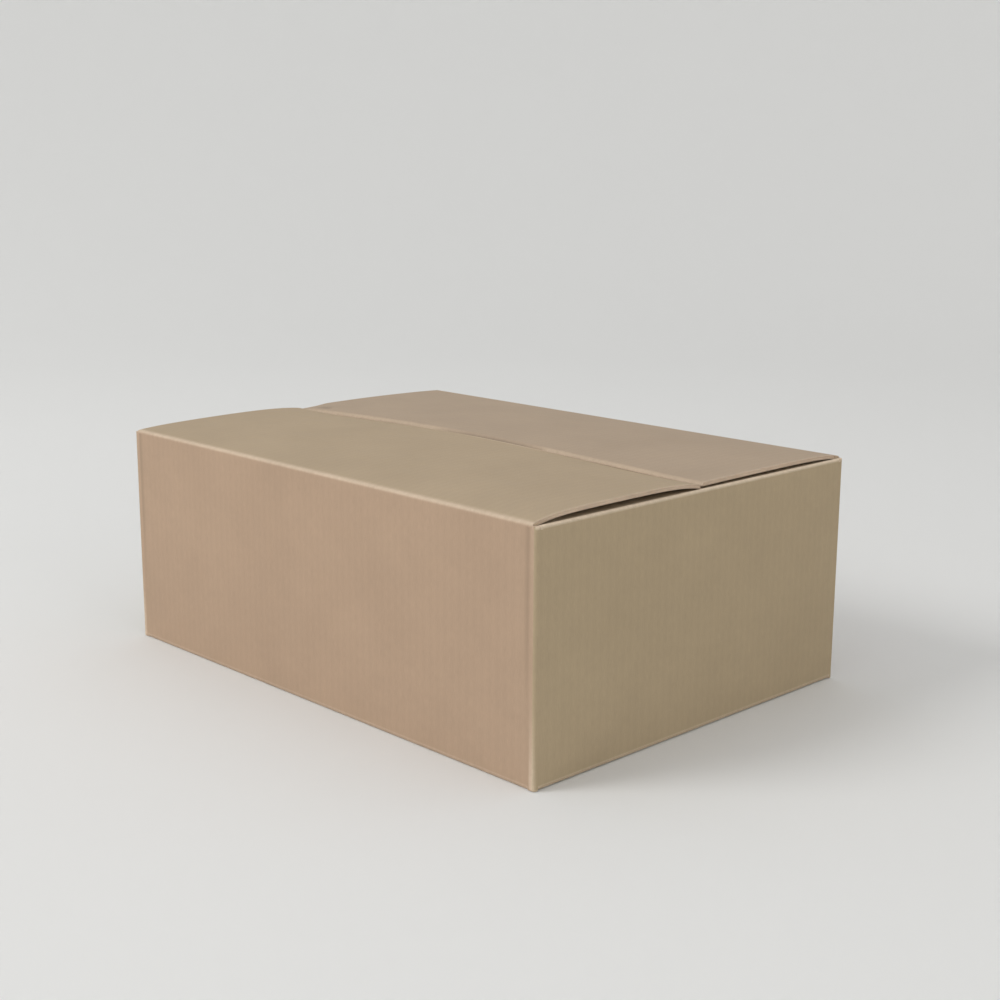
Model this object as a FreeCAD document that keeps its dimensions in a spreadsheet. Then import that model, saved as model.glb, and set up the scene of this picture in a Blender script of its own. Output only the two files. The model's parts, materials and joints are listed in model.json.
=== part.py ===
import FreeCAD, Part
import math
import os
import Sketcher

# Closed corrugated carton, the regular slotted kind: one creased and folded sheet of board.
# Frame: origin on the floor under the middle of the box, +X along the long walls, +Y to the
# back, +Z up. The front wall faces -Y. Sizes are in millimetres.

SHEET = "sizes"

# Driving dimensions: alias, value, meaning
DIMENSIONS = (
    ("box_length", 420, "outside length, along X"),
    ("box_width", 300, "outside width, along Y"),
    ("box_height", 160, "height of the outer flaps' creases above the floor"),
    ("board", 2.8, "thickness of the corrugated board"),
    ("fold_radius", 2.2, "outside radius of every fold"),
    ("end_crease_drop", 1.4, "how far the inner flaps' creases lie below the outer flaps' creases"),
    ("slot_drop", 1.6, "depth of the slots at the four corners"),
    ("outer_flap_inset", 3.5, "outer top flap's side edge, in from the end wall's face"),
    ("inner_flap_inset", 3.7, "inner flap's side edge, in from the long wall's face"),
    ("slot_gap", 0.5, "slot's clearance beside an outer flap's root"),
    ("crease_gap", 0.4, "clearance between an outer flap's root and its wall, along Z"),
    ("seam_gap", 0.6, "gap between the outer top flaps' free edges"),
    ("shoulder_reach", 3.6, "inner flap's shoulder, in from the end wall's face"),
    ("shoulder_depth", 2.2, "how far the shoulder steps down under the outer flap"),
    ("inner_flap_fall", 6, "how far an inner top flap slopes down to its free edge"),
    ("bottom_seam_gap", 1, "gap between the outer bottom flaps' free edges"),
    ("bottom_flap_inset", 5.2, "outer bottom flap's side edge, in from the end wall's face"),
    ("end_wall_foot", 0.4, "end wall's lower fold above the floor"),
    ("joint_inset", 0.6, "back wall's cut edge, in from the end wall's face"),
    ("joint_squeeze", 0.3, "how far the glued tab is pressed into the back wall"),
    ("tab_width", 35, "glue tab's free edge, in from the end wall's face"),
    ("tab_foot", 12, "glue tab's lower corner above the floor"),
    ("tab_head", 16, "glue tab's upper corner below the outer flaps' creases"),
    ("tab_taper", 8, "how much the tab narrows at each end towards its free edge"),
    ("shoulder_pull", 13, "first control point of a flap's section, from the box's face"),
    ("lip_pull", 17, "last inner control point of a flap's section, from the middle seam"),
)

# Doming of the outer top flaps: height of the section's control points over the crease at
# five stations along X. Columns: shoulder near the crease, crown, lip near the seam, free edge.
STATIONS = ("left_end", "left_middle", "centre", "right_middle", "right_end")
CONTROLS = ("shoulder", "crown", "lip", "edge")
DOMING = {
    "front": (
        (1.6, 3.2, 3.2, 0.3),
        (2.0, 4.5, 3.3, 2.2),
        (2.2, 5.2, 4.8, 4.4),
        (3.0, 4.8, 3.5, 2.2),
        (4.4, 4.0, 4.9, 0.7),
    ),
    "back": (
        (0.7, 2.3, 1.3, 0.6),
        (1.6, 4.4, 4.9, 4.7),
        (2.0, 5.6, 6.2, 6.1),
        (2.4, 4.8, 4.9, 4.6),
        (3.0, 2.9, 2.6, 2.2),
    ),
}

# How far a cutting outline reaches past the board that it trims
OVERREACH = 5


class Measure:
    """A length with its number now and the formula that ties it to the sheet."""

    def __init__(self, number, formula):
        self.number = number
        self.formula = formula

    def combine(self, sign, other, swapped=False):
        if not isinstance(other, Measure):
            other = Measure(other, str(other))
        first, second = (other, self) if swapped else (self, other)
        numbers = {
            "+": lambda: first.number + second.number,
            "-": lambda: first.number - second.number,
            "*": lambda: first.number * second.number,
            "/": lambda: first.number / second.number,
        }
        return Measure(numbers[sign](), f"({first.formula} {sign} {second.formula})")

    def __add__(self, other):
        return self.combine("+", other)

    def __sub__(self, other):
        return self.combine("-", other)

    def __mul__(self, other):
        return self.combine("*", other)

    def __rmul__(self, other):
        return self.combine("*", other, swapped=True)

    def __truediv__(self, other):
        return self.combine("/", other)

    def __neg__(self):
        return self.combine("*", -1)


def root(measure):
    return Measure(math.sqrt(measure.number), f"sqrt({measure.formula})")


def fill_sheet(doc):
    """Write every driving dimension into the sheet and return them by alias."""
    sheet = doc.addObject("Spreadsheet::Sheet", SHEET)
    rows = list(DIMENSIONS)
    for side, stations in DOMING.items():
        for station, heights in zip(STATIONS, stations):
            for control, height in zip(CONTROLS, heights):
                alias = f"{side}_{station}_{control}"
                rows.append((alias, height, "height of that control point over the crease"))
    sizes = {}
    for row, (alias, value, meaning) in enumerate(rows, start=1):
        sheet.set(f"A{row}", meaning)
        sheet.set(f"B{row}", str(value))
        sheet.setAlias(f"B{row}", alias)
        sizes[alias] = Measure(value, f"{SHEET}.{alias}")
    doc.recompute()
    return sizes


def new_sketch(body, name, role, offset=None):
    """A sketch on one of the body's own origin planes, moved along its normal by offset."""
    sketch = body.newObject("Sketcher::SketchObject", name)
    plane = next(item for item in body.Origin.OriginFeatures if item.Role == role)
    sketch.AttachmentSupport = [(plane, "")]
    sketch.MapMode = "FlatFace"
    if offset is not None:
        sketch.setExpression("AttachmentOffset.Base.z", offset.formula)
    return sketch


class Outline:
    """One closed outline, drawn stroke by stroke, with every corner tied to the sheet."""

    ORIGIN = -1
    START = 1
    END = 2
    CENTRE = 3

    def __init__(self, sketch, x, y):
        self.sketch = sketch
        self.first = (x, y)
        self.here = (x, y)
        self.strokes = []
        self.fixed_ends = []

    def line(self, x, y):
        edge = self.sketch.addGeometry(Part.LineSegment(self.point(self.here), self.point((x, y))))
        self.advance(edge, self.START, self.END, (x, y), "xy")
        return self

    def arc(self, x, y, centre_x, centre_y):
        """A round stroke about a centre, the short way, to the corner (x, y)."""
        centre = self.point((centre_x, centre_y))
        start = self.point(self.here) - centre
        end = self.point((x, y)) - centre
        turns_left = start.cross(end).z > 0
        low, high = (start, end) if turns_left else (end, start)
        circle = Part.Circle(centre, FreeCAD.Vector(0, 0, 1), start.Length)
        angles = (math.atan2(low.y, low.x), math.atan2(high.y, high.x))
        edge = self.sketch.addGeometry(Part.ArcOfCircle(circle, *angles))
        self.fix(edge, self.CENTRE, (centre_x, centre_y), "xy")
        free_axis = "x" if abs(end.y) > abs(end.x) else "y"
        sides = (self.START, self.END) if turns_left else (self.END, self.START)
        self.advance(edge, *sides, (x, y), free_axis)
        return self

    def spline(self, *corners):
        """A smooth stroke pulled by its inner control points to the last corner."""
        poles = [self.point(self.here)] + [self.point(corner) for corner in corners]
        curve = Part.BSplineCurve()
        inner_knots = len(poles) - 4
        knots = [step / (inner_knots + 1) for step in range(inner_knots + 2)]
        repeats = [4] + [1] * inner_knots + [4]
        curve.buildFromPolesMultsKnots(poles, repeats, knots, False, 3)
        edge = self.sketch.addGeometry(curve)
        for number, corner in enumerate(corners[:-1], start=1):
            ring = Part.Circle(self.point(corner), FreeCAD.Vector(0, 0, 1), 1)
            handle = self.sketch.addGeometry(ring, True)
            self.sketch.addConstraint(Sketcher.Constraint("Weight", handle, 1.0))
            self.sketch.addConstraint(Sketcher.Constraint(
                "InternalAlignment:Sketcher::BSplineControlPoint", handle, self.CENTRE, edge, number))
            self.fix(handle, self.CENTRE, corner, "xy")
        self.advance(edge, self.START, self.END, corners[-1], "xy")
        return self

    def close(self):
        """A last straight stroke back to the first corner."""
        edge = self.sketch.addGeometry(Part.LineSegment(self.point(self.here), self.point(self.first)))
        self.strokes.append((edge, self.START, self.END))
        following_strokes = self.strokes[1:] + self.strokes[:1]
        for (geometry, _, end), (following, start, _) in zip(self.strokes, following_strokes):
            self.sketch.addConstraint(
                Sketcher.Constraint("Coincident", geometry, end, following, start))
        geometry, start, _ = self.strokes[0]
        self.fix(geometry, start, self.first, "xy")
        for geometry, end, corner, axes in self.fixed_ends:
            self.fix(geometry, end, corner, axes)

    def advance(self, geometry, start, end, corner, axes):
        self.strokes.append((geometry, start, end))
        self.fixed_ends.append((geometry, end, corner, axes))
        self.here = corner

    def fix(self, geometry, place, corner, axes):
        for axis, kind, measure in (("x", "DistanceX", corner[0]), ("y", "DistanceY", corner[1])):
            if axis in axes:
                constraint = Sketcher.Constraint(
                    kind, self.ORIGIN, self.START, geometry, place, measure.number)
                index = self.sketch.addConstraint(constraint)
                self.sketch.setExpression(f"Constraints[{index}]", measure.formula)

    @staticmethod
    def point(corner):
        return FreeCAD.Vector(corner[0].number, corner[1].number, 0)


def rectangle(sketch, low_x, low_y, high_x, high_y):
    outline = Outline(sketch, low_x, low_y)
    outline.line(high_x, low_y).line(high_x, high_y).line(low_x, high_y).close()


def extrude(body, kind, name, sketch, length, symmetric=False, reversed_way=False):
    """Pad or Pocket of one sketch. A Pocket has to take volume away, and a Pad to add it."""
    before = body.Shape.Volume if body.Tip else 0
    feature = body.newObject(f"PartDesign::{kind}", name)
    feature.Profile = sketch
    feature.SideType = "Symmetric" if symmetric else "One side"
    feature.Reversed = reversed_way
    feature.setExpression("Length", length.formula)
    sketch.Visibility = False
    body.Document.recompute()
    change = body.Shape.Volume - before
    if change * (1 if kind == "Pad" else -1) <= 0:
        raise RuntimeError(f"{name} changed the volume by {change:.1f} mm3")
    return feature


def vertical_edges(shape, corners):
    """Names of the upright edges that stand at the given corners in plan."""
    names = []
    for number, edge in enumerate(shape.Edges, start=1):
        low, high = (vertex.Point for vertex in edge.Vertexes)
        upright = abs(low.x - high.x) < 1e-6 and abs(low.y - high.y) < 1e-6
        if upright and any(abs(low.x - x) < 1e-6 and abs(low.y - y) < 1e-6 for x, y in corners):
            names.append(f"Edge{number}")
    return names


class Box:
    """Places that several outlines share, each worked out from the sheet."""

    def __init__(self, sizes):
        self.sizes = sizes
        self.end = sizes["box_length"] / 2
        self.side = sizes["box_width"] / 2
        self.top = sizes["box_height"]
        self.board = sizes["board"]
        self.radius = sizes["fold_radius"]
        self.end_crease = self.top - sizes["end_crease_drop"]
        self.shoulder = self.end_crease - sizes["shoulder_depth"]
        self.outer_flap_end = self.end - sizes["outer_flap_inset"]
        self.outer_slot = self.outer_flap_end + sizes["slot_gap"]
        self.inner_flap_side = self.side - sizes["inner_flap_inset"]
        self.inner_slot = self.inner_flap_side + sizes["slot_gap"]
        self.flap_depth = self.side - sizes["seam_gap"] / 2
        self.inner_free_edge = self.end - self.flap_depth
        # Where a fold's round face stands half way between upright and level
        self.fold_tip = self.radius * (1 - math.sqrt(0.5))


def four_walls(doc, body, box):
    """The sleeve of four walls, folded at three corners and glued at the back left one."""
    sheet_plan = new_sketch(body, "wall_plan", "XY_Plane")
    rectangle(sheet_plan, -box.end, -box.side, box.end, box.side)
    block = extrude(body, "Pad", "wall_block", sheet_plan, box.top)

    end, side = box.end.number, box.side.number
    folded = ((-end, -side), (end, -side), (end, side))
    folds = body.newObject("PartDesign::Fillet", "upright_folds")
    folds.Base = (block, vertical_edges(block.Shape, folded))
    folds.setExpression("Radius", box.radius.formula)
    doc.recompute()

    inside_plan = new_sketch(body, "inside_plan", "XY_Plane", box.top)
    inner_end = box.end - box.board
    inner_side = box.side - box.board
    rectangle(inside_plan, -inner_end, -inner_side, inner_end, inner_side)
    extrude(body, "Pocket", "inside", inside_plan, box.top)


def glued_corner(body, box):
    """The back wall's cut edge over the end wall's fold, and the glue tab behind it."""
    sizes = box.sizes
    inner_side = box.side - box.board
    fold_crest = inner_side + sizes["joint_squeeze"]
    centre_x = -box.end + box.radius
    centre_y = fold_crest - box.radius
    rise = inner_side - centre_y
    meeting_x = centre_x - root(box.radius * box.radius - rise * rise)

    notch = new_sketch(body, "joint_notch_plan", "XY_Plane", box.top)
    outline = Outline(notch, -box.end, centre_y)
    outline.arc(meeting_x, inner_side, centre_x, centre_y)
    outline.line(-box.end + sizes["joint_inset"], inner_side)
    outline.line(-box.end + sizes["joint_inset"], box.side + OVERREACH)
    outline.line(-box.end - OVERREACH, box.side + OVERREACH)
    outline.line(-box.end - OVERREACH, centre_y)
    outline.close()
    extrude(body, "Pocket", "joint_notch", notch, box.top)

    tab = new_sketch(body, "glue_tab_outline", "XZ_Plane", -fold_crest)
    foot = sizes["tab_foot"]
    head = box.top - sizes["tab_head"]
    free_edge = -box.end + sizes["tab_width"]
    outline = Outline(tab, centre_x, foot)
    outline.line(free_edge, foot + sizes["tab_taper"])
    outline.line(free_edge, head - sizes["tab_taper"])
    outline.line(centre_x, head)
    outline.close()
    extrude(body, "Pad", "glue_tab", tab, box.board)


def corner_slots(body, box):
    """Slots between neighbouring flaps, cut down to just past the creases at each corner."""
    levels = (("top_slots", box.top, False), ("bottom_slots", Measure(0, "0"), True))
    for name, level, upwards in levels:
        plan = new_sketch(body, f"{name}_plan", "XY_Plane", level)
        for x_sign in (-1, 1):
            for y_sign in (-1, 1):
                rectangle(
                    plan,
                    x_sign * box.outer_slot,
                    y_sign * box.inner_slot,
                    x_sign * (box.end + OVERREACH),
                    y_sign * (box.side + OVERREACH),
                )
        extrude(body, "Pocket", name, plan, box.sizes["slot_drop"], reversed_way=upwards)


def outer_top_creases(body, box):
    """Mitred and rounded tops of the long walls, where the outer flaps are hinged."""
    plan = new_sketch(body, "outer_crease_section", "YZ_Plane")
    centre_z = box.top - box.radius
    tip_z = box.top - box.fold_tip - box.sizes["crease_gap"]
    rise = tip_z - centre_z
    tip_inset = box.radius - root(box.radius * box.radius - rise * rise)
    inner_z = box.top - box.board - box.sizes["crease_gap"]
    for sign in (-1, 1):
        face = sign * box.side
        inner_face = sign * (box.side - box.board)
        outline = Outline(plan, face, centre_z)
        outline.arc(sign * (box.side - tip_inset), tip_z, sign * (box.side - box.radius), centre_z)
        outline.line(inner_face, inner_z)
        outline.line(inner_face, box.top + OVERREACH)
        outline.line(sign * (box.side + OVERREACH), box.top + OVERREACH)
        outline.line(sign * (box.side + OVERREACH), centre_z)
        outline.close()
    extrude(body, "Pocket", "outer_creases", plan, 2 * box.outer_slot, symmetric=True)


def fold_trim(sketch, box, face, level, up):
    """Region outside a quarter-round fold between an upright face and a level one."""
    radius = box.radius
    depth = box.board + OVERREACH
    inward = -1 if face.number > 0 else 1
    centre_x = face + inward * radius
    centre_y = level - up * radius
    outline = Outline(sketch, face, centre_y)
    outline.arc(centre_x, level, centre_x, centre_y)
    outline.line(face + inward * depth, level)
    outline.line(face + inward * depth, level + up * OVERREACH)
    outline.line(face - inward * OVERREACH, level + up * OVERREACH)
    outline.line(face - inward * OVERREACH, centre_y)
    outline.close()


def rounded_folds(body, box):
    """Folds of the end walls at top and bottom, and of the long walls at the bottom."""
    end_top = new_sketch(body, "end_crease_section", "XZ_Plane")
    end_foot = new_sketch(body, "end_foot_section", "XZ_Plane")
    side_foot = new_sketch(body, "side_foot_section", "YZ_Plane")
    floor = Measure(0, "0")
    for sign in (-1, 1):
        fold_trim(end_top, box, sign * box.end, box.end_crease, 1)
        fold_trim(end_foot, box, sign * box.end, box.sizes["end_wall_foot"], -1)
        fold_trim(side_foot, box, sign * box.side, floor, -1)
    extrude(body, "Pocket", "end_creases", end_top, 2 * box.inner_slot, symmetric=True)
    extrude(body, "Pocket", "end_feet", end_foot, 2 * box.inner_slot, symmetric=True)
    extrude(body, "Pocket", "side_feet", side_foot, 2 * box.outer_slot, symmetric=True)


def inner_top_flaps(body, box):
    """Flaps folded in from the end walls, stepped down under the outer flaps."""
    section = new_sketch(body, "inner_top_flap_section", "XZ_Plane")
    root_x = box.end - box.radius
    shoulder_x = box.end - box.sizes["shoulder_reach"]
    free_z = box.shoulder - box.sizes["inner_flap_fall"]
    for sign in (-1, 1):
        outline = Outline(section, sign * root_x, box.end_crease)
        outline.line(sign * shoulder_x, box.shoulder)
        outline.line(sign * box.inner_free_edge, free_z)
        outline.line(sign * box.inner_free_edge, free_z - box.board)
        outline.line(sign * shoulder_x, box.shoulder - box.board)
        outline.line(sign * root_x, box.shoulder - box.board)
        outline.close()
    extrude(body, "Pad", "inner_top_flaps", section, 2 * box.inner_flap_side, symmetric=True)


def bottom_flaps(body, box):
    """Outer bottom flaps on the floor and inner ones glued on top of them."""
    sizes = box.sizes
    outer_plan = new_sketch(body, "outer_bottom_flap_plan", "XY_Plane")
    flap_end = box.end - sizes["bottom_flap_inset"]
    for sign in (-1, 1):
        seam = sign * sizes["bottom_seam_gap"] / 2
        rectangle(outer_plan, -flap_end, seam, flap_end, sign * (box.side - box.radius))
    extrude(body, "Pad", "outer_bottom_flaps", outer_plan, box.board)

    section = new_sketch(body, "inner_bottom_flap_section", "XZ_Plane")
    root_x = box.end - box.radius
    for sign in (-1, 1):
        outline = Outline(section, sign * root_x, sizes["end_wall_foot"])
        outline.line(sign * flap_end, box.board)
        outline.line(sign * box.inner_free_edge, box.board)
        outline.line(sign * box.inner_free_edge, 2 * box.board)
        outline.line(sign * root_x, 2 * box.board)
        outline.close()
    extrude(body, "Pad", "inner_bottom_flaps", section, 2 * box.inner_flap_side, symmetric=True)


def make_carton(doc, box):
    body = doc.addObject("PartDesign::Body", "carton")
    body.Label = "carton"
    four_walls(doc, body, box)
    glued_corner(body, box)
    corner_slots(body, box)
    outer_top_creases(body, box)
    rounded_folds(body, box)
    inner_top_flaps(body, box)
    bottom_flaps(body, box)
    return body


def make_outer_flap(doc, box, side_name, sign):
    """An outer top flap, domed along and across, lofted through five sections along X."""
    body = doc.addObject("PartDesign::Body", f"{side_name}_top_flap")
    body.Label = f"{side_name}_top_flap"
    sizes = box.sizes
    step = box.outer_flap_end / 2
    offsets = (-2 * step, -step, Measure(0, "0"), step, 2 * step)
    tip = box.fold_tip
    sections = []
    for station, offset in zip(STATIONS, offsets):
        sketch = new_sketch(body, f"{side_name}_{station}", "YZ_Plane", offset)
        heights = {name: sizes[f"{side_name}_{station}_{name}"] for name in CONTROLS}
        shoulder_y = sign * (box.side - sizes["shoulder_pull"])
        crown_y = sign * box.side / 2
        lip_y = sign * sizes["lip_pull"]
        edge_y = sign * sizes["seam_gap"] / 2
        under = box.top - box.board
        outline = Outline(sketch, sign * (box.side - tip), box.top - tip)
        outline.arc(sign * (box.side - box.radius), box.top,
                    sign * (box.side - box.radius), box.top - box.radius)
        outline.spline((shoulder_y, box.top + heights["shoulder"]),
                       (crown_y, box.top + heights["crown"]),
                       (lip_y, box.top + heights["lip"]),
                       (edge_y, box.top + heights["edge"]))
        outline.line(edge_y, under + heights["edge"])
        outline.spline((lip_y, under + heights["lip"]),
                       (crown_y, under + heights["crown"]),
                       (shoulder_y, under + heights["shoulder"]),
                       (sign * (box.side - box.board), under))
        outline.close()
        sections.append(sketch)
    loft = body.newObject("PartDesign::AdditiveLoft", f"{side_name}_domed_board")
    loft.Profile = sections[0]
    loft.Sections = sections[1:]
    loft.Ruled = False
    doc.recompute()
    return body


def check(doc, pieces):
    """Stop if any feature failed or any piece is not one valid solid."""
    for item in doc.Objects:
        failed = [state for state in item.State if state in ("Invalid", "Error")]
        if failed:
            raise RuntimeError(f"{item.Name} is {failed}")
    for piece in pieces:
        shape = piece.Shape
        if shape.isNull() or not shape.isValid() or len(shape.Solids) != 1:
            raise RuntimeError(f"{piece.Label} is not one valid solid")


def main():
    doc = FreeCAD.newDocument("closed_cardboard_box")
    box = Box(fill_sheet(doc))
    pieces = (
        make_carton(doc, box),
        make_outer_flap(doc, box, "front", -1),
        make_outer_flap(doc, box, "back", 1),
    )
    doc.recompute()
    check(doc, pieces)
    os.makedirs("parts", exist_ok=True)
    for piece in pieces:
        piece.Shape.exportStep(os.path.join("parts", f"{piece.Label}.step"))
        limits = piece.Shape.BoundBox
        print(f"{piece.Label}: {piece.Shape.Volume / 1000:.1f} cm3, "
              f"X {limits.XMin:.2f} to {limits.XMax:.2f}, "
              f"Y {limits.YMin:.2f} to {limits.YMax:.2f}, "
              f"Z {limits.ZMin:.2f} to {limits.ZMax:.2f}")


main()
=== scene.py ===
import json
import math

import bpy
import numpy as np
from mathutils import Matrix, Vector
from mathutils.bvhtree import BVHTree


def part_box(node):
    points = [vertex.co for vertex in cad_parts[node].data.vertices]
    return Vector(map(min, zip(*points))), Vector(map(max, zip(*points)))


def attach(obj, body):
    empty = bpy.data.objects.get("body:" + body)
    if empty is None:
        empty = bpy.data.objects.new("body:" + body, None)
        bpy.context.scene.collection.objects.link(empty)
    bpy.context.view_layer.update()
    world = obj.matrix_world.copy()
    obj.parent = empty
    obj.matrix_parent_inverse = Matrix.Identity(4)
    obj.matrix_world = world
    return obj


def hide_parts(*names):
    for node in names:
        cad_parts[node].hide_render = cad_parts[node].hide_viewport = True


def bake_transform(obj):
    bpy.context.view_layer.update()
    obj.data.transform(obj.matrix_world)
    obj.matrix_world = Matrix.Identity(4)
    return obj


# Closed corrugated carton. The frame gives its outer size, its creases and the doming of its
# outer flaps. The board is built as real board is: two paper liners with a wavy sheet between.
# Lengths are in metres.

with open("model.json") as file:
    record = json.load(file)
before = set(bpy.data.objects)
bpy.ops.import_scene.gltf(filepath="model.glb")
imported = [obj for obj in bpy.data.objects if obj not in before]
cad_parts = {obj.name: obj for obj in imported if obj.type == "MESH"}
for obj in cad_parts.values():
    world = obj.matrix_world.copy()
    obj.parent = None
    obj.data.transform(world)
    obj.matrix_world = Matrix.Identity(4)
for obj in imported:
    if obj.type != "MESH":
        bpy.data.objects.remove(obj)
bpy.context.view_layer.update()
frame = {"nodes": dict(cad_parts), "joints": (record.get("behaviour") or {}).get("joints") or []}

MM = 0.001

# The board and its folds: a fold's radius on the outside and on the inside, and the paper over it
BOARD = 2.8 * MM
LINER = 0.32 * MM
FLUTE_PAPER = 0.24 * MM
FLUTE_PITCH = 6.5 * MM
FOLD = 2.2 * MM
INNER_FOLD = 0.5 * MM
FOLD_LENGTH = FOLD * math.pi / 2
# How far the end walls' creases and the corner posts' tops lie below the long walls' creases, how
# far the posts' feet lie above the floor, and the gaps beside a slot and in a hinged crease
END_CREASE_DROP = 1.4 * MM
SLOT_DROP = 1.6 * MM
SLOT_FOOT = 0.5 * MM
SLOT_GAP = 0.5 * MM
CREASE_GAP = 0.4 * MM
# The inner top flaps: how far their sides stay in from the long walls, the shoulder beside their
# fold, and their fall from there to the free edge
INNER_FLAP_INSET = 3.7 * MM
SHOULDER_REACH = 3.6 * MM
SHOULDER_DEPTH = 0.7 * MM
INNER_FLAP_FALL = 7.5 * MM
# The bottom: its seam, how far the outer flaps' ends stay in from the end walls' faces, and how
# far the end walls' folds stay off the floor
BOTTOM_SEAM = 1 * MM
BOTTOM_INSET = 5.2 * MM
END_WALL_FOOT = 0.4 * MM
# The glued corner: how far the back wall's cut edge and its fluting stay in, and how far the tab
# is pressed into that wall. Then the tab's width, its distances from the floor and from the
# crease, and how much each of its ends tapers
JOINT_INSET = 0.6 * MM
JOINT_FLUTE_INSET = 0.3 * MM
JOINT_SQUEEZE = 0.3 * MM
TAB_WIDTH = 35 * MM
TAB_FOOT = 12 * MM
TAB_HEAD = 16 * MM
TAB_TAPER = 8 * MM

# Places that come from the frame
CARTON_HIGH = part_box("carton")[1]
END = CARTON_HIGH.x
SIDE = CARTON_HIGH.y
CREASE = frame["joints"][0]["pos_m"][2]
FLAP_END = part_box("front_top_flap")[1].x
FREE_EDGE = -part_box("front_top_flap")[1].y
END_CREASE = CREASE - END_CREASE_DROP
OUTER_SLOT = FLAP_END + SLOT_GAP
INNER_FLAP_SIDE = SIDE - INNER_FLAP_INSET
INNER_SLOT = INNER_FLAP_SIDE + SLOT_GAP
INNER_FREE_EDGE = END - (SIDE - FREE_EDGE)
BOTTOM_FLAP_END = END - BOTTOM_INSET
WALL_TOP = CREASE - BOARD - CREASE_GAP

# Distances from a sheet's edge where its grid has extra lines, and the strides between the rest:
# on most sheets, along and across the outer flaps, and up the glue tab as a share of its height
NEAR_EDGE = tuple(step * MM for step in (0, 0.3, 0.7, 1.2, 2, 2.8, 3.4, 4.6, 6, 8))
STRIDE = 16 * MM
FLAP_STRIDE_ALONG = 8 * MM
FLAP_STRIDE_ACROSS = 9 * MM
TAB_STRIDE = 0.2
# Steps of a fold, of a crease's fold, and of one flute
ARC_STEPS = 6
CREASE_STEPS = 8
WAVE_STEPS = 12
# Lines across the parts that have no stride
JOINT_LINES = 5
FLAP_FOLD_LINES = 4
UNDER_ROOT_LINES = 3
ROOT_LINES = 8
FLUTE_LINES = 14
SKIN_WALL_LINES = 3
SKIN_FLAP_LINES = 6
# Shares of the walls' height where their grid has lines
WALL_LEVELS = np.concatenate([
    [0, 0.008, 0.02], np.linspace(0.1, 0.9, 9), [0.96, 0.98, 0.9845, 0.9865, 0.993, 1]])
# A slot's step is spread over this much of the wall
SLOT_STEP = 0.01 * MM
# The paper inside a long wall's rounded top stops short of the tip, at this share of the way
MITRE_SHARE = 0.97

# The frame's flap surfaces are sampled on a grid of this many lines each way, this far in from
# the sides, the fold and the free edge, by rays from above
DOME_SAMPLES = 61
DOME_SIDE_INSET = 0.5 * MM
DOME_INSET = 0.2 * MM
RAY_START = 1.0

# Cut edges are squashed by the knife, and creases by the scoring wheel. Each reach is how far in
# from the edge the liner bends, and each drop or rise how far it has bent at the edge itself
SIDE_REACH = 1.2 * MM
SIDE_DROP = 0.25 * MM
SIDE_UNDER_REACH = 2.2 * MM
SIDE_RISE = 0.15 * MM
LIP_REACH = {"front": 0.9 * MM, "back": 2.5 * MM}
LIP_DROP = {"front": 0.2 * MM, "back": 2.1 * MM}
LIP_UNDER_REACH = 2.6 * MM
LIP_RISE = {"front": 0.48 * MM, "back": 0}
SCORE_REACH = 9 * MM
SCORE_RISE = 1.3 * MM
# Depths on an outer flap, from the wall's face: where its inner liner starts, and the solid root
# between the liners, which the fluting overlaps
ROOT = 1.6 * MM
ROOT_START = 1 * MM
ROOT_REACH = 5 * MM
FLUTE_OVERLAP = 0.3 * MM
# Distances from the free edge where the fluting has its last lines
FLUTE_ENDS = np.array([1.6, 1.1, 0.6, 0.15]) * MM
FLUTE_END_REACH = 2.4 * MM
# How far the whole flutes stay in from an outer flap's ends. A cut flute closes the board there:
# its inset and how much that wanders, its hollow, how far it stays from the free edge, its lines
# and knots along the flap, and its lines from one liner to the other
EDGE_WEB = 0.9 * MM
WEB_INSET = 0.12 * MM
WEB_WANDER = 0.22 * MM
WEB_HOLLOW = 0.3 * MM
WEB_END = 0.4 * MM
WEB_LINES = 70
WEB_KNOTS = 24
WEB_SHARES = (0, 0.3, 0.5, 0.7, 1)
WEB_SEED = {"front": 11, "back": 12}
# The paper skin over a crease: how far it reaches down the wall and over the flap, how far it
# stands proud of the board, and how deep it goes
SKIN_ON_WALL = 3.6 * MM
SKIN_ON_FLAP = 7 * MM
SKIN_LIFT = 0.03 * MM
SKIN_DEPTH = 0.1 * MM

# Scuffing is pale above zero, from wear and, where flaps overlap, from painted light. Below zero
# it is painted shade. How far the pale scuffing reaches in from a fold or a cut, how fast it fades,
# and where a path turns enough to count as bent, in radians
SCUFF_REACH = 2.6 * MM
SCUFF_FADE = 1.4
BEND_SCUFF_REACH = 2 * MM
BEND_TURN = 0.05
# Upright folds are pale. Painted shade darkens the long wall beside them and the fold's half nearer
# the end wall, as shade along the crease. Millimetres over the paper from where a long wall starts
# to bend, below zero on the fold, and the scuffing there
PALE_BAND = ((-3.5, -2.9, -1.7, -0.6, 0, 1.4, 2.2, 2.8), (0, 0.1, 0.45, 0.8, 1, 1, 0.7, 0))
CREASE_SHADE_BAND = ((-3.5, -2.4, -1.2, 0, 2.8, 4.2, 5.6, 7.6),
               (-0.85, -0.7, -0.2, 0, 0, -1.25, -0.9, 0))
# How strong the pale part is, and the painted shade, at shares of the wall's height
PALE_SHARE = ((0, 0.06, 0.14, 0.3, 0.5, 0.75, 1), (0.8, 0.7, 0.45, 0.12, 0.02, 0.08, 0.16))
CREASE_SHADE_SHARE = ((0, 0.25, 0.6, 1), (0, 0.15, 1, 1))
# Scuffing along the walls' foot and below the end walls' creases, and how far each reaches
FOOT_WEAR = 0.4
FOOT_REACH = 1.2 * MM
END_CREASE_WEAR = 0.9
END_CREASE_REACH = 1.2 * MM
# What lies within this of an end counts as its face
END_FACE = 1.2 * MM
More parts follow.
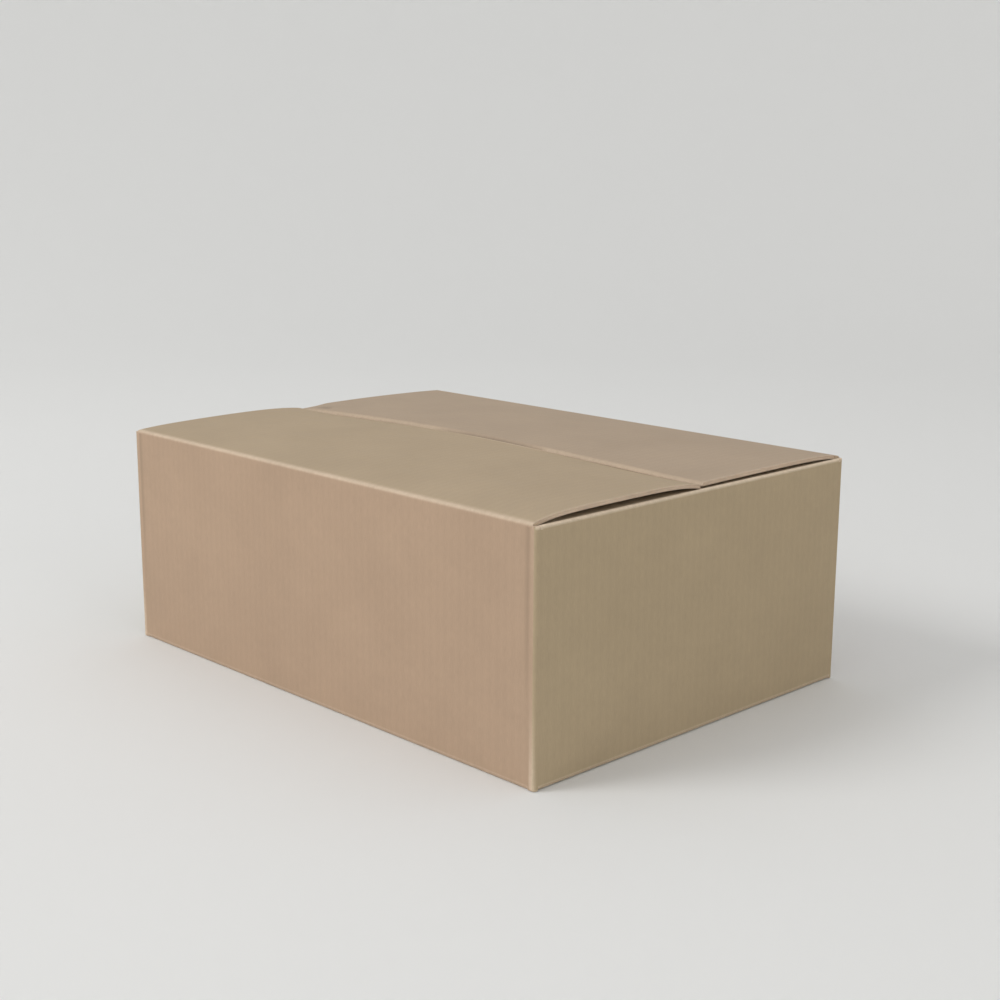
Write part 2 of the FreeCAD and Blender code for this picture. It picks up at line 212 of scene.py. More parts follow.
# Painted light: where flaps lie on each other their paper is made pale, which lightens the shaded
# gap between them: fully up to the first distance from a fold or an end, and less and less up to
# the second. The strength above, and under an outer flap
GAP_LIGHT_REACH = (3 * MM, 32 * MM)
GAP_LIGHT_ABOVE = 0.55
GAP_LIGHT_UNDER = 0.4
# The wear of a folded strip grows from none over this share of its fold's radius
FOLD_START_SHARE = 0.8
# Scuffing along the edges of the other sheets, and of the flutes and the cut flutes
INNER_FLAP_WEAR = 1.0
BOTTOM_FLAP_WEAR = 0.7
WALL_TOP_WEAR = {"sides": 0.5, "tip": 0.7}
JOINT_WEAR = {"edge": 0.8, "ends": 0.5}
TAB_WEAR = {"edge": 0.7, "ends": 0.6}
UNDER_WEAR = {"edges": 0.6, "root": 0.3}
FLUTE_WEAR_REACH = 1.6 * MM
WEB_WEAR = 0.25
WEB_WEAR_WANDER = 0.55
# The seam's back lip is pale, but painted shade darkens it along a stretch near the middle. The
# front lip is nearly plain, but pale there. Millimetres along the seam, the scuffing there, and how
# far in it reaches
LIP_WEAR_AND_SHADE = {
    "front": ((-206, -10, 4, 56, 72, 206), (0.15, 0.15, 0.7, 0.7, 0.15, 0.15)),
    "back": ((-206, -46, -30, -14, 0, 45, 60, 72, 206),
             (0.5, 0.5, 0, -0.8, -1.8, -1.7, -0.5, 0.6, 0.6)),
}
LIP_WEAR_AND_SHADE_REACH = {"front": 4 * MM, "back": 2.4 * MM}
# Scuffing along an outer flap's ends
SIDE_WEAR = 0.45
# The back flap's left end is crushed at the seam: how much, and how far along each edge
DENT = 1.25 * MM
DENT_ALONG_END = (14 * MM, 26 * MM)
DENT_ALONG_SEAM = (3 * MM, 16 * MM)
# Painted shade darkens its paper in the middle of the dent: how far that is from the end and from
# the seam, how far the painted shade reaches along each, and its scuffing
DENT_SHADE_PLACE = (21 * MM, 10 * MM)
DENT_SHADE_REACH = (6 * MM, 4.5 * MM)
DENT_SHADE = -2.8
# Scuffing along an outer flap's crease: how far it is full from the fold's middle, towards the
# wall and towards the flap, and how far it fades beyond each
CREASE_WEAR = 0.72
CREASE_FULL = (0.6 * MM, 1.0 * MM)
CREASE_FADE = (1.4 * MM, 3.4 * MM)
# Below this, the wall's own wear shows in place of the crease's
CREASE_FAINT = 0.05
# Added to a place's depth on the flap, it gives the run over the paper from the fold's middle
FOLD_RUN = FOLD * (math.pi / 4 - 1)

# Kraft paper as lit plainly, linear RGB
FRONT_KRAFT = (0.450, 0.320, 0.224)
TOP_KRAFT = (0.430, 0.335, 0.230)
BACK_TOP_KRAFT = (0.425, 0.330, 0.243)
END_KRAFT = (0.430, 0.336, 0.217)
# The inside paper is paler than the outside, partly as painted light that lightens the shaded gaps
# and hollows inside the carton
INSIDE_KRAFT = (0.540, 0.415, 0.295)
FLUTE_KRAFT = (0.420, 0.310, 0.215)
CUT_KRAFT = (0.560, 0.430, 0.315)
# Pale paper where folds and cuts are scuffed, also used as painted light where flaps overlap
PALE_WEAR_AND_LIGHT_KRAFT = (0.680, 0.540, 0.410)
PALE_WEAR_AND_LIGHT_END = (0.780, 0.640, 0.490)
# Share of its tone that paper loses to painted shade, at scuffing minus one, and the lowest
# scuffing that counts
PAINTED_SHADE_DARKENING = 0.14
PAINTED_SHADE_LOWEST = -3
# How much the short fibres and the grain change the tone, and the heights of their relief and of
# the flute lines'
FIBRE_SHOW = 0.045
GRAIN_SHOW = 0.03
FIBRE_RELIEF = 0.03 * MM
FLUTE_RELIEF = 0.006 * MM
# Nearly all of a noise lies between these two
NOISE_LOW = 0.3
NOISE_HIGH = 0.7

# The stage: its flat floor's radius, the curve up into the backdrop, and the backdrop above it
FLOOR_RADIUS = 1.76
CURVE_RADIUS = 2.6
BACKDROP_HEIGHT = 2.0
STAGE_SIDES = 96
CURVE_POINTS = 14
FLOOR_COLOUR = (0.78, 0.78, 0.77)

# The lights: strength of the sky, then each lamp's place, size and power, and what they aim at
SKY = 0.77
LAMPS = {
    "key": ((-1.5, -2.9, 2.6), 1.8, 64),
    "fill": ((2.9, -0.2, 1.0), 1.6, 8.5),
}
LIT_POINT = (0, 0, 0.08)

# Camera, fitted to the photograph: place, angles, lens and width of its sensor
CAMERA_PLACE = (0.8084, -0.7599, 0.3627)
CAMERA_AZIMUTH = 45.836
CAMERA_ELEVATION = 12.461
CAMERA_ROLL = 0.297
CAMERA_LENS = 56.67
SENSOR = 36


def spread(low, high, stride=STRIDE):
    """Places from low to high, closer together near both ends."""
    near = np.array([step for step in NEAR_EDGE if step < (high - low) / 2])
    middle_low, middle_high = low + near[-1], high - near[-1]
    count = max(2, int(round((middle_high - middle_low) / stride)) + 1)
    middle = np.linspace(middle_low, middle_high, count)
    return np.concatenate([low + near[:-1], middle, high - near[:-1][::-1]])


def scuff(distance, reach=SCUFF_REACH):
    """Scuffing at a distance from a fold or cut: 1 on it, none past its reach."""
    return np.clip(1 - np.asarray(distance, float) / reach, 0, 1) ** SCUFF_FADE


def gap_light(distance):
    """Painted light where flaps lie on each other, at a distance from a fold or an end."""
    return np.interp(distance, GAP_LIGHT_REACH, (1, 0))


def grid_scuff(us, vs, low_u=0, high_u=0, low_v=0, high_v=0):
    """Scuffing over a grid, with a strength for each of its four edges."""
    u_part = np.maximum(low_u * scuff(us - us[0]), high_u * scuff(us[-1] - us))
    v_part = np.maximum(low_v * scuff(vs - vs[0]), high_v * scuff(vs[-1] - vs))
    return np.maximum(u_part[:, None], v_part[None, :])


def grid_quads(rows, columns, first, flip):
    """Faces of a grid whose points are numbered row by row from first."""
    quads = []
    for i in range(rows - 1):
        for j in range(columns - 1):
            a = first + i * columns + j
            quad = (a, a + columns, a + columns + 1, a + 1)
            quads.append(quad[::-1] if flip else quad)
    return quads


def slab(name, outer, inner, materials, scuffing=None, sharp=40):
    """A closed sheet between two equal grids of points. Its cut edges take the last material."""
    outer, inner = np.asarray(outer, float), np.asarray(inner, float)
    rows, columns = outer.shape[:2]
    count = rows * columns
    faces = grid_quads(rows, columns, 0, False) + grid_quads(rows, columns, count, True)
    surfaces = len(faces)
    rim = [i * columns for i in range(rows)]
    rim += [(rows - 1) * columns + j for j in range(1, columns)]
    rim += [i * columns + columns - 1 for i in range(rows - 2, -1, -1)]
    rim += [j for j in range(columns - 2, 0, -1)]
    for here, there in zip(rim, rim[1:] + rim[:1]):
        faces.append((there, here, here + count, there + count))
    mesh = bpy.data.meshes.new(name)
    points = np.concatenate([outer.reshape(-1, 3), inner.reshape(-1, 3)])
    mesh.from_pydata([tuple(p) for p in points], [], faces)
    for material in materials:
        mesh.materials.append(material)
    cut = len(materials) - 1
    for number, polygon in enumerate(mesh.polygons):
        if number >= surfaces:
            polygon.material_index = cut
        elif number >= surfaces // 2 and cut > 1:
            polygon.material_index = 1
    values = np.zeros(count) if scuffing is None else np.asarray(scuffing, float).reshape(-1)
    attribute = mesh.attributes.new("scuffing", "FLOAT", "POINT")
    attribute.data.foreach_set("value", np.concatenate([values, values]).astype(np.float32))
    mesh.shade_smooth()
    mesh.set_sharp_from_angle(angle=math.radians(sharp))
    mesh.validate()
    piece = bpy.data.objects.new(name, mesh)
    bpy.context.scene.collection.objects.link(piece)
    return piece


def put(piece, body, *replaced):
    """A finished piece rides on its body, and the frame's parts that it replaces are hidden."""
    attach(piece, body)
    if replaced:
        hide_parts(*replaced)


def arc(centre_x, centre_y, radius, start, end, steps=ARC_STEPS):
    """Points of a round fold, angles in degrees."""
    angles = np.radians(np.linspace(start, end, steps + 1))
    return [(centre_x + radius * math.cos(a), centre_y + radius * math.sin(a)) for a in angles]


def along(start, end):
    """Points from start up to, not with, end, on a straight run of a section."""
    start, end = np.array(start), np.array(end)
    length = np.linalg.norm(end - start)
    places = spread(0, length)[:-1] / length
    return [tuple(start + (end - start) * t) for t in places]


def lengths(path):
    """Distance along a section's path to each of its points."""
    steps = np.linalg.norm(np.diff(np.array(path), axis=0), axis=1)
    return np.concatenate([[0], np.cumsum(steps)])


def resample(path, shares):
    """Points of a path at the given shares of its length."""
    run = lengths(path)
    path = np.array(path)
    want = np.asarray(shares) * run[-1]
    return np.column_stack([np.interp(want, run, path[:, k]) for k in range(2)])


def sweep(path, widths, plane, mirror):
    """A grid: the section's path, moved along the third axis to each width."""
    grid = np.zeros((len(widths), len(path), 3))
    for i, width in enumerate(widths):
        for j, (a, z) in enumerate(path):
            grid[i, j] = (mirror * a, width, z) if plane == "XZ" else (width, mirror * a, z)
    return grid


def wave(position):
    """The fluting's height at a place across it, from 0 at one liner to 1 at the other."""
    return 0.5 + 0.5 * np.cos(2 * math.pi * np.asarray(position) / FLUTE_PITCH)


def wave_places(low, high):
    """Places across the flutes, WAVE_STEPS to each one."""
    count = int((high - low) / FLUTE_PITCH * WAVE_STEPS)
    return np.linspace(low, high, count + 1)


def fluting(name, upper, lower, places, material, scuffing=None):
    """The wavy sheet between two liners, given as grids of points at the same places."""
    height = wave(places)[:, None, None]
    middle = upper * height + lower * (1 - height)
    half = (upper - lower) / np.linalg.norm(upper - lower, axis=2, keepdims=True) * FLUTE_PAPER / 2
    return slab(name, middle + half, middle - half, [material], scuffing, sharp=60)


def new_nodes(name):
    """A material with an empty tree."""
    material = bpy.data.materials.new(name)
    material.use_nodes = True
    tree = material.node_tree
    tree.nodes.clear()
    return material, tree


def add(tree, kind, inputs=None, **settings):
    """A node with its settings, and its inputs set to values or linked to other sockets."""
    node = tree.nodes.new(kind)
    for key, value in settings.items():
        setattr(node, key, value)
    for key, value in (inputs or {}).items():
        if isinstance(value, bpy.types.NodeSocket):
            tree.links.new(value, node.inputs[key])
        else:
            node.inputs[key].default_value = value
    return node


def remap(tree, value, low, high, to_low, to_high):
    """A value between low and high, moved to the same share between two others."""
    node = add(tree, "ShaderNodeMapRange", {
        "Value": value, "From Min": low, "From Max": high, "To Min": to_low, "To Max": to_high})
    return node.outputs["Result"]


def maths(tree, operation, first, second):
    """Two values put through a mathematical operation."""
    return add(tree, "ShaderNodeMath", {0: first, 1: second}, operation=operation).outputs[0]


def paper(name, colour, flute_axis, mottle=0.035, flute_show=0.010, relief=1.0, worn=PALE_WEAR_AND_LIGHT_KRAFT):
    """Kraft paper: cloudy tone, short fibres, faint flute lines, pale scuffed folds and painted
    light and shade.
    """
    material, tree = new_nodes(name)
    place = add(tree, "ShaderNodeTexCoord").outputs["Object"]

    def noise(scale, detail, roughness, stretch=(1, 1, 1), offset=0.0):
        """A cloudy pattern fixed to the paper."""
        mapped = add(tree, "ShaderNodeMapping", {
            "Vector": place, "Location": (offset, offset, offset), "Scale": stretch})
        return add(tree, "ShaderNodeTexNoise", {
            "Vector": mapped.outputs["Vector"], "Scale": scale, "Detail": detail,
            "Roughness": roughness}).outputs["Fac"]

    clouds = noise(scale=14, detail=3, roughness=0.55)
    patches = noise(scale=90, detail=3, roughness=0.6, offset=3.1)
    fibres = noise(scale=1500, detail=3, roughness=0.65, stretch=(1.0, 1.0, 0.12))
    grain = noise(scale=2600, detail=2, roughness=0.6, offset=7.7)
    axis = "XYZ".index(flute_axis)
    split = add(tree, "ShaderNodeSeparateXYZ", {"Vector": place})
    turns = maths(tree, "MULTIPLY", split.outputs[axis], 2 * math.pi / FLUTE_PITCH)
    flutes = maths(tree, "COSINE", turns, 0.0)

    tone = remap(tree, clouds, NOISE_LOW, NOISE_HIGH, 1 - mottle, 1 + mottle)
    for source, low, high, strength in (
        (patches, NOISE_LOW, NOISE_HIGH, mottle / 2),
        (fibres, NOISE_LOW, NOISE_HIGH, FIBRE_SHOW),
        (grain, NOISE_LOW, NOISE_HIGH, GRAIN_SHOW),
        (flutes, -1, 1, flute_show),
    ):
        tone = maths(tree, "MULTIPLY", tone, remap(
            tree, source, low, high, 1 - strength, 1 + strength))

    scuffing = add(tree, "ShaderNodeAttribute", attribute_name="scuffing").outputs["Fac"]
    # Pale scuffing is patchy
    tears = noise(scale=260, detail=4, roughness=0.7, offset=1.3)
    ragged = remap(tree, tears, 0.35, 0.65, 0.70, 1.0)
    pale = maths(tree, "MULTIPLY", scuffing, ragged)
    # Scuffing below zero is painted shade: it darkens the tone
    darkest = 1 + PAINTED_SHADE_LOWEST * PAINTED_SHADE_DARKENING
    tone = maths(tree, "MULTIPLY", tone, remap(tree, scuffing, PAINTED_SHADE_LOWEST, 0, darkest, 1))

    toned = add(tree, "ShaderNodeVectorMath", {
        0: colour, "Scale": tone}, operation="SCALE").outputs["Vector"]
    pale_tone = add(tree, "ShaderNodeVectorMath", {
        0: worn, "Scale": tone}, operation="SCALE").outputs["Vector"]
    mixed = add(tree, "ShaderNodeMix", {
        "Factor": pale, "A": toned, "B": pale_tone}, data_type="VECTOR").outputs[1]

    fibre_bump = add(tree, "ShaderNodeBump", {
        "Height": maths(tree, "ADD", fibres, grain), "Distance": FIBRE_RELIEF * relief,
        "Strength": 0.8})
    flute_bump = add(tree, "ShaderNodeBump", {
        "Height": flutes, "Distance": FLUTE_RELIEF * relief, "Strength": 1.0,
        "Normal": fibre_bump.outputs["Normal"]})
    shader = add(tree, "ShaderNodeBsdfPrincipled", {
        "Base Color": mixed,
        "Roughness": remap(tree, patches, NOISE_LOW, NOISE_HIGH, 0.78, 0.9),
        "Specular IOR Level": 0.22,
        "Normal": flute_bump.outputs["Normal"]})
    add(tree, "ShaderNodeOutputMaterial", {"Surface": shader.outputs["BSDF"]})
    return material


def make_materials():
    """The papers: one for each face that differs in tone, one for fluting and one for cuts."""
    return {
        "front": paper("kraft_front", FRONT_KRAFT, "X"),
        "front_top": paper("kraft_front_top", TOP_KRAFT, "X"),
        "back_top": paper("kraft_back_top", BACK_TOP_KRAFT, "X"),
        "end": paper("kraft_end", END_KRAFT, "Y", worn=PALE_WEAR_AND_LIGHT_END),
        "inside": paper("kraft_inside", INSIDE_KRAFT, "X"),
        "inside_end": paper("kraft_inside_end", INSIDE_KRAFT, "Y"),
        "flute": paper("fluting_paper", FLUTE_KRAFT, "Z", flute_show=0),
        "cut": paper("cut_paper", CUT_KRAFT, "Z", mottle=0.07, flute_show=0, relief=2.0),
    }


def wall_ring():
    """Outline of the four walls in plan, outside and inside, from the glued corner round."""
    corner_x, corner_y = END - FOLD, SIDE - FOLD
    inner_x, inner_y = END - BOARD - INNER_FOLD, SIDE - BOARD - INNER_FOLD
    outside, inside, fold_runs = [], [], []

    def run(start, end, inner_start, inner_end, glued=False):
        """A flat wall between two folds, or a glued edge and a fold, with lines at its slots."""
        length = np.linalg.norm(np.array(end) - np.array(start))
        long_wall = start[1] == end[1]
        low_slot = (END - OUTER_SLOT if long_wall else SIDE - INNER_SLOT) - FOLD
        marks = [low_slot - SLOT_STEP, low_slot + SLOT_STEP]
        if long_wall:
            low_slot = END - BOTTOM_FLAP_END - FOLD
            marks += [low_slot - SLOT_STEP, low_slot + SLOT_STEP]
        marks += [length - mark for mark in marks]
        # Rounded to a tenth of a micrometre, so that equal places count once
        places = np.unique(np.round(np.concatenate([spread(0, length), marks]), 7))
        for place in places:
            share = place / length
            outside.append(tuple(np.array(start) + (np.array(end) - np.array(start)) * share))
            inside.append(tuple(
                np.array(inner_start) + (np.array(inner_end) - np.array(inner_start)) * share))
            from_fold = length - place if glued else min(place, length - place)
            fold_runs.append(from_fold if long_wall else -FOLD_LENGTH - from_fold)

    def corner(x_sign, y_sign, start, long_wall_first):
        """A quarter turn between two walls, without its ends."""
        outside.extend(arc(x_sign * corner_x, y_sign * corner_y, FOLD, start, start - 90)[1:-1])
        inside.extend(arc(x_sign * inner_x, y_sign * inner_y, INNER_FOLD, start, start - 90)[1:-1])
        runs = -FOLD_LENGTH * np.linspace(0, 1, ARC_STEPS + 1)[1:-1]
        fold_runs.extend(runs if long_wall_first else runs[::-1])

    inner_end, inner_side = END - BOARD, SIDE - BOARD
    run((-END + JOINT_INSET + FOLD, SIDE), (corner_x, SIDE),
        (-inner_end, inner_side), (inner_x, inner_side), glued=True)
    corner(1, 1, 90, True)
    run((END, corner_y), (END, -corner_y), (inner_end, inner_y), (inner_end, -inner_y))
    corner(1, -1, 0, False)
    run((corner_x, -SIDE), (-corner_x, -SIDE), (inner_x, -inner_side), (-inner_x, -inner_side))
    corner(-1, -1, -90, True)
    crest = inner_side + JOINT_SQUEEZE
    run((-END, -corner_y), (-END, crest - FOLD),
        (-inner_end, -inner_y), (-inner_end, crest - FOLD - INNER_FOLD))
    meeting = 180 - math.degrees(math.asin((inner_side - crest + FOLD) / FOLD))
    tucked = arc(-corner_x, crest - FOLD, FOLD, 180, meeting)[1:]
    outside.extend(tucked)
    inside.extend((-inner_end, y) for _, y in tucked)
    fold_runs.extend(-FOLD_LENGTH * np.linspace(1, 0, len(tucked) + 1)[1:])
    return outside, inside, fold_runs


def wall_span(x, y):
    """Lowest and highest point of the walls at a place in plan."""
    if abs(x) > OUTER_SLOT and abs(y) > INNER_SLOT:
        return SLOT_FOOT, CREASE - SLOT_DROP
    if abs(y) > INNER_SLOT:
        return SLOT_FOOT if abs(x) > BOTTOM_FLAP_END else FOLD, WALL_TOP
    return END_WALL_FOOT + FOLD, END_CREASE - FOLD


def fold_wear_and_shade(fold_run, level):
    """Pale wear and painted shade at a run over the paper from an upright fold, and a share of the
    wall's height.
    """
    run = np.asarray(fold_run) / MM
    pale = np.interp(run, *PALE_BAND) * np.interp(level, *PALE_SHARE)
    # The second part is painted shade beside the fold
    return pale + np.interp(run, *CREASE_SHADE_BAND) * np.interp(level, *CREASE_SHADE_SHARE)


def make_walls(materials):
    """The sleeve of four walls. Front and end walls take their own paper tone."""
    outside, inside, fold_runs = wall_ring()
    outer, inner, scuffing = [], [], []
    for (x, y), (inner_x, inner_y), fold_run in zip(outside, inside, fold_runs):
        low, high = wall_span(x, y)
        heights = low + (high - low) * WALL_LEVELS
        outer.append([(x, y, z) for z in heights])
        inner.append([(inner_x, inner_y, z) for z in heights])
        band = fold_wear_and_shade(fold_run, WALL_LEVELS)
        band[heights - low < FOOT_REACH] = FOOT_WEAR
        if abs(x) > END - END_FACE:
            # An end's face takes none of the painted shade, so it is never darker than plain paper,
            # and it is pale at its crease
            on_crease = np.clip((heights - END_CREASE + FOLD) / END_CREASE_REACH, 0, 1)
            band = np.maximum(band, END_CREASE_WEAR * on_crease)
        scuffing.append(band)
    walls = slab("walls", outer, inner,
                 [materials["front"], materials["inside"], materials["cut"]], scuffing)
    walls.data.materials.append(materials["end"])
    walls.data.materials.append(materials["inside_end"])
    for polygon in walls.data.polygons:
        centre, normal = polygon.center, polygon.normal
        on_end = abs(normal.x) > abs(normal.y)
        on_fold = abs(centre.x) > END - FOLD and abs(centre.y) > SIDE - FOLD
        if (on_end or on_fold) and polygon.material_index < 2:
            polygon.material_index += 3
    put(walls, "carton", "carton")


def board_strip(
        name, outer_path, inner_path, half_width, plane, mirror, papers, flute_lines, wear):
    """A folded strip of board: outer liner, inner liner and the fluting between two lines."""
    materials, outer_paper, inner_paper = papers
    widths = spread(-half_width, half_width)
    outer_path, inner_path = np.array(outer_path), np.array(inner_path)
    pieces = []
    for tag, path, depth, tone in (
        ("outer", outer_path, 1, outer_paper),
        ("inner", inner_path, -1, inner_paper),
    ):
        steps = np.gradient(path, axis=0)
        normals = np.column_stack([-steps[:, 1], steps[:, 0]])
        normals /= np.linalg.norm(normals, axis=1, keepdims=True)
        towards = np.sign(np.sum((inner_path.mean(0) - outer_path.mean(0)) * normals.mean(0)))
        core = path + normals * towards * depth * LINER
        run = lengths(path)
        scuffing = grid_scuff(widths, run, wear, wear, 0, wear)
        if tag == "outer":
            above_wall = np.clip(run / (FOLD_START_SHARE * FOLD), 0, 1)
            # Painted light: pale paper past the fold, which lightens the shaded gap under the outer
            # flap
            past_fold_light = GAP_LIGHT_ABOVE * gap_light(run - FOLD_LENGTH)
            near_fold = np.maximum(fold_scuff(path), past_fold_light) * above_wall
            scuffing = np.maximum(scuffing, wear * near_fold[None, :])
        pieces.append(slab(
            f"{name}_{tag}_liner", sweep(path, widths, plane, mirror),
            sweep(core, widths, plane, mirror),
            [materials[tone], materials["flute"], materials["cut"]], scuffing))
    places = wave_places(-half_width, half_width)
    upper, lower = flute_lines
    pieces.append(fluting(
        f"{name}_fluting", sweep(upper, places, plane, mirror), sweep(lower, places, plane, mirror),
        places, materials["flute"]))
    for piece in pieces:
        put(piece, "carton")


def fold_scuff(path):
    """Scuffing where a section's path bends, fading along its straight runs."""
    path = np.array(path)
    run = lengths(path)
    steps = np.diff(path, axis=0)
    angles = np.unwrap(np.arctan2(steps[:, 1], steps[:, 0]))
    bends = np.abs(np.diff(angles)) > BEND_TURN
    bent = run[1:-1][bends]
    if not len(bent):
        return np.zeros(len(path))
    return scuff(np.min(np.abs(run[:, None] - bent[None, :]), axis=1), BEND_SCUFF_REACH)


def make_inner_top_flaps(materials):
    """End walls' top folds and the inner flaps that they carry."""
    shoulder = (END - SHOULDER_REACH, END_CREASE - SHOULDER_DEPTH)
    free = (INNER_FREE_EDGE, shoulder[1] - INNER_FLAP_FALL)
    outer = arc(END - FOLD, END_CREASE - FOLD, FOLD, 0, 90)
    outer += along(outer[-1], shoulder)[1:] + along(shoulder, free) + [free]
    corner = (END - BOARD, shoulder[1] - BOARD)
    under_free = (free[0], free[1] - BOARD)
    inner = [(END - BOARD, END_CREASE - FOLD)] + along(corner, under_free) + [under_free]
    slope = resample([shoulder, free], [0, 0.5, 1])
    upper = [(a, z - LINER) for a, z in slope]
    lower = [(a, z - BOARD + LINER) for a, z in slope]
    for side, mirror in (("left", -1), ("right", 1)):
        board_strip(f"{side}_inner_top_flap", outer, inner, INNER_FLAP_SIDE, "XZ", mirror,
                    (materials, "end", "inside_end"), (upper, lower), INNER_FLAP_WEAR)


def make_bottom_flaps(materials):
    """The bottom folds and flaps: outer ones on the floor, inner ones glued on top."""
    outer = arc(SIDE - FOLD, FOLD, FOLD, 0, -90)
    seam = (BOTTOM_SEAM / 2, 0)
    outer += along(outer[-1], seam)[1:] + [seam]
    inner_seam = (BOTTOM_SEAM / 2, BOARD)
    inner = [(SIDE - BOARD, FOLD)] + along((SIDE - BOARD, BOARD), inner_seam) + [inner_seam]
    upper = [(SIDE - BOARD, BOARD - LINER), (seam[0], BOARD - LINER)]
    lower = [(SIDE - BOARD, LINER), (seam[0], LINER)]
    for side, mirror in (("front", -1), ("back", 1)):
        board_strip(f"{side}_bottom_flap", outer, inner, BOTTOM_FLAP_END, "YZ", mirror,
                    (materials, "front", "inside"), (upper, lower), BOTTOM_FLAP_WEAR)

    ramp = (BOTTOM_FLAP_END, BOARD)
    free = (INNER_FREE_EDGE, BOARD)
    outer = arc(END - FOLD, END_WALL_FOOT + FOLD, FOLD, 0, -90)
    outer += along(outer[-1], ramp)[1:] + along(ramp, free) + [free]
    top_free = (INNER_FREE_EDGE, 2 * BOARD)
    inner = [(END - BOARD, END_WALL_FOOT + FOLD)] + along((END - BOARD, 2 * BOARD), top_free)
    inner += [top_free]
    upper = [(BOTTOM_FLAP_END, 2 * BOARD - LINER), (INNER_FREE_EDGE, 2 * BOARD - LINER)]
    lower = [(BOTTOM_FLAP_END, BOARD + LINER), (INNER_FREE_EDGE, BOARD + LINER)]
    for side, mirror in (("left", -1), ("right", 1)):
        board_strip(f"{side}_inner_bottom_flap", outer, inner, INNER_FLAP_SIDE, "XZ", mirror,
                    (materials, "end", "inside_end"), (upper, lower), BOTTOM_FLAP_WEAR)


def make_wall_tops(materials):
    """Mitred and rounded tops of the long walls, under the outer flaps' creases."""
    tip_z = CREASE - FOLD * (1 - math.sqrt(0.5)) - CREASE_GAP
    rise = tip_z - (CREASE - FOLD)
    tip_angle = math.degrees(math.asin(rise / FOLD))
    outer = [(SIDE, WALL_TOP)] + arc(SIDE - FOLD, CREASE - FOLD, FOLD, 0, tip_angle)
    shares = np.linspace(0, MITRE_SHARE, len(outer))
    inner = resample([(SIDE - BOARD, WALL_TOP), outer[-1]], shares)
    widths = spread(-OUTER_SLOT, OUTER_SLOT)
    side_wear, tip_wear = WALL_TOP_WEAR["sides"], WALL_TOP_WEAR["tip"]
    scuffing = grid_scuff(widths, lengths(outer), side_wear, side_wear, 0, tip_wear)
    for side, mirror in (("front", -1), ("back", 1)):
        put(slab(f"{side}_wall_top", sweep(outer, widths, "YZ", mirror),
                 sweep(inner, widths, "YZ", mirror),
                 [materials["front"], materials["inside"], materials["cut"]], scuffing), "carton")


def make_glued_corner(materials):
    """The back wall's cut edge at the glued corner, and the tab behind it."""
    heights = spread(SLOT_FOOT, CREASE - SLOT_DROP)
    edge_x = -END + JOINT_INSET
    start_x = edge_x + FOLD
    places = np.linspace(edge_x, start_x, JOINT_LINES)
    edge_wear, end_wear = JOINT_WEAR["edge"], JOINT_WEAR["ends"]
    scuffing = grid_scuff(places - edge_x, heights, edge_wear, 0, end_wear, end_wear)
    for tag, face, depth in (("outer", SIDE, -1), ("inner", SIDE - BOARD, 1)):
        outer = [[(x, face, z) for z in heights] for x in places]
        inner = [[(x, face + depth * LINER, z) for z in heights] for x in places]
        put(slab(f"joint_edge_{tag}_liner", outer, inner,
                 [materials["front"], materials["cut"]], scuffing), "carton")
    places = np.linspace(edge_x + JOINT_FLUTE_INSET, start_x, WAVE_STEPS)
    upper = np.array([[(x, SIDE - LINER, z) for z in heights] for x in places])
    lower = np.array([[(x, SIDE - BOARD + LINER, z) for z in heights] for x in places])
    put(fluting("joint_edge_fluting", upper, lower, places - edge_x, materials["flute"]), "carton")

    face = SIDE - BOARD + JOINT_SQUEEZE
    root_x, free_x = -END + FOLD, -END + TAB_WIDTH
    foot, head = TAB_FOOT, CREASE - TAB_HEAD
    places = spread(root_x, free_x)
    shares = spread(0, 1, TAB_STRIDE)
    edge_wear, end_wear = TAB_WEAR["edge"], TAB_WEAR["ends"]
    scuffing = grid_scuff(places, shares * (head - foot), 0, edge_wear, end_wear, end_wear)
    for tag, near, far in (
        ("outer", face, face - LINER),
        ("inner", face - BOARD + LINER, face - BOARD),
    ):
        sheets = []
        for y in (far, near):
            sheets.append([[
                (x, y, tab_level(x, share, root_x, free_x, foot, head)) for share in shares]
                for x in places])
        put(slab(f"glue_tab_{tag}_liner", *sheets,
                 [materials["inside"], materials["flute"], materials["cut"]], scuffing), "carton")
    places = wave_places(root_x, free_x)
    ys = (face - LINER, face - BOARD + LINER)
    upper, lower = (np.array([[
        (x, y, tab_level(x, share, root_x, free_x, foot, head)) for share in (0, 1)]
        for x in places]) for y in ys)
    put(fluting("glue_tab_fluting", upper, lower, places, materials["flute"]), "carton")


def tab_level(x, share, root_x, free_x, foot, head):
    """Height of a point of the tapered tab, at a share of the way up."""
    taper = TAB_TAPER * (x - root_x) / (free_x - root_x)
    return foot + taper + share * (head - foot - 2 * taper)


